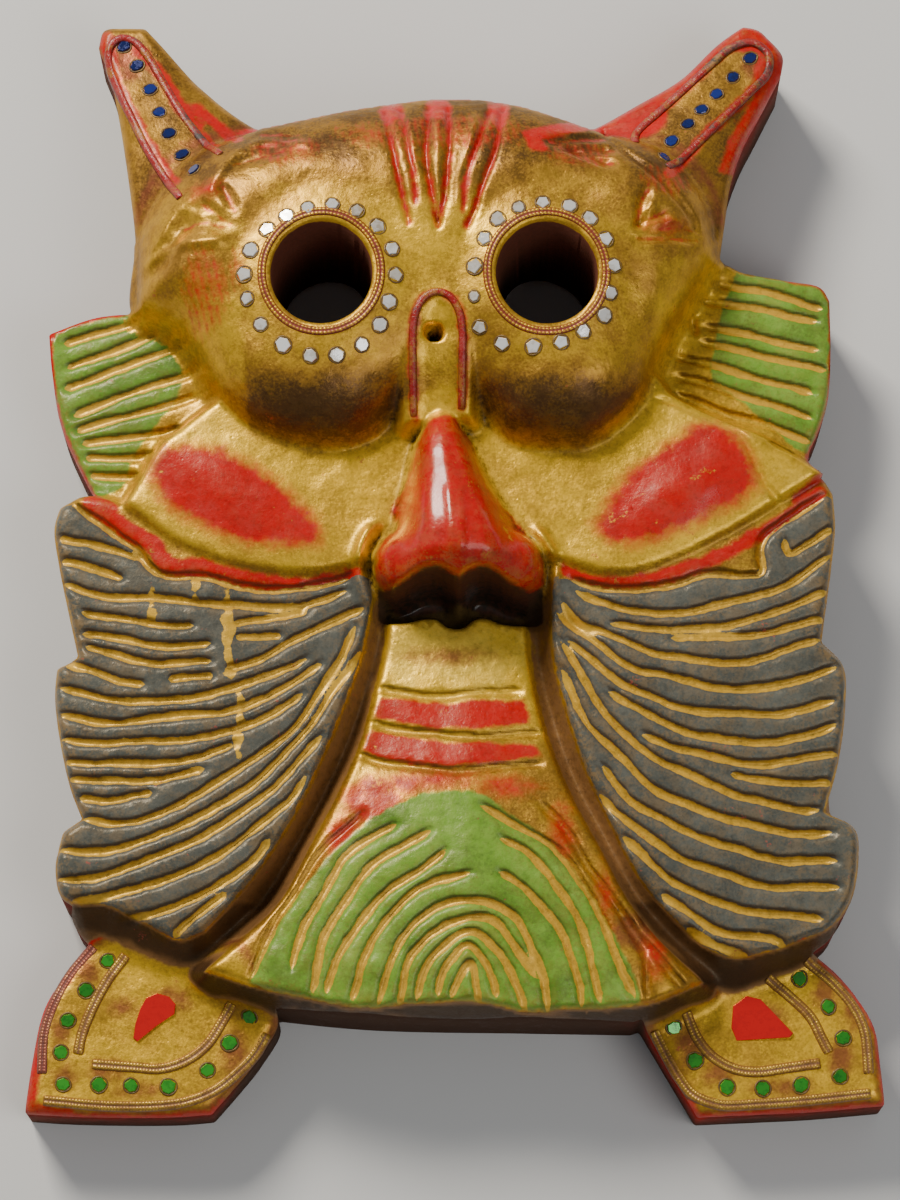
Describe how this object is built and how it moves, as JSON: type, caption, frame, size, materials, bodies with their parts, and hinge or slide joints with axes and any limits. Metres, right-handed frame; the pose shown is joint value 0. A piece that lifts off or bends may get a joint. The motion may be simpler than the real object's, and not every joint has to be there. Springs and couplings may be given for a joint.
{
  "type": "owl wall mask",
  "caption": "Carved wooden owl mask with horned ears, open eye holes, ribbed wings, a fanned beard and two feet, painted gold, red, green and black and set with small mirrors.",
  "frame": {"origin": "under the middle of the mask's outline, on the plane of its flat back; the mask lies on its back", "axes": "+X to the viewer's right, +Y from the feet to the ears, +Z out of the face"},
  "size_m": [0.242, 0.32, 0.063],
  "materials": {
    "painted_wood": "carved light wood under aged gold paint, with red, green and black areas",
    "moulded_strip": "moulded lacquer-paste strips, reddish brown and gold",
    "clear_mirror": "small cut pieces of silvered mirror",
    "blue_mirror": "small cut pieces of blue mirror",
    "green_mirror": "small cut pieces of green mirror",
    "red_mirror": "cut pieces of red mirror"
  },
  "bodies": {
    "root": {"mask_body": "painted_wood", "left_ear_strip": "moulded_strip", "right_ear_strip": "moulded_strip", "beak_tab_strip": "moulded_strip", "left_foot_outer_strip": "moulded_strip", "left_foot_inner_strip": "moulded_strip", "left_foot_hem_strip": "moulded_strip", "left_foot_edge_strip": "moulded_strip", "right_foot_outer_strip": "moulded_strip", "right_foot_inner_strip": "moulded_strip", "right_foot_hem_strip": "moulded_strip", "right_foot_edge_strip": "moulded_strip", "left_eye_ring": "moulded_strip", "right_eye_ring": "moulded_strip", "left_ear_mirror_1": "blue_mirror", "left_ear_mirror_2": "blue_mirror", "left_ear_mirror_3": "blue_mirror", "left_ear_mirror_4": "blue_mirror", "left_ear_mirror_5": "blue_mirror", "left_ear_mirror_6": "blue_mirror", "left_ear_mirror_7": "blue_mirror", "right_ear_mirror_1": "blue_mirror", "right_ear_mirror_2": "blue_mirror", "right_ear_mirror_3": "blue_mirror", "right_ear_mirror_4": "blue_mirror", "right_ear_mirror_5": "blue_mirror", "right_ear_mirror_6": "blue_mirror", "right_ear_mirror_7": "blue_mirror", "left_foot_mirror_1": "green_mirror", "left_foot_mirror_2": "green_mirror", "left_foot_mirror_3": "green_mirror", "left_foot_mirror_4": "green_mirror", "left_foot_mirror_5": "green_mirror", "left_foot_mirror_6": "green_mirror", "left_foot_mirror_7": "green_mirror", "left_foot_mirror_8": "green_mirror", "left_foot_mirror_9": "green_mirror", "left_foot_mirror_10": "green_mirror", "left_foot_mirror_11": "green_mirror", "right_foot_mirror_1": "green_mirror", "right_foot_mirror_2": "green_mirror", "right_foot_mirror_3": "green_mirror", "right_foot_mirror_4": "green_mirror", "right_foot_mirror_5": "green_mirror", "right_foot_mirror_6": "green_mirror", "right_foot_mirror_7": "green_mirror", "right_foot_mirror_8": "green_mirror", "right_foot_mirror_9": "green_mirror", "left_foot_red_mirror": "red_mirror", "right_foot_red_mirror": "red_mirror"}
  },
  "joints": []
}
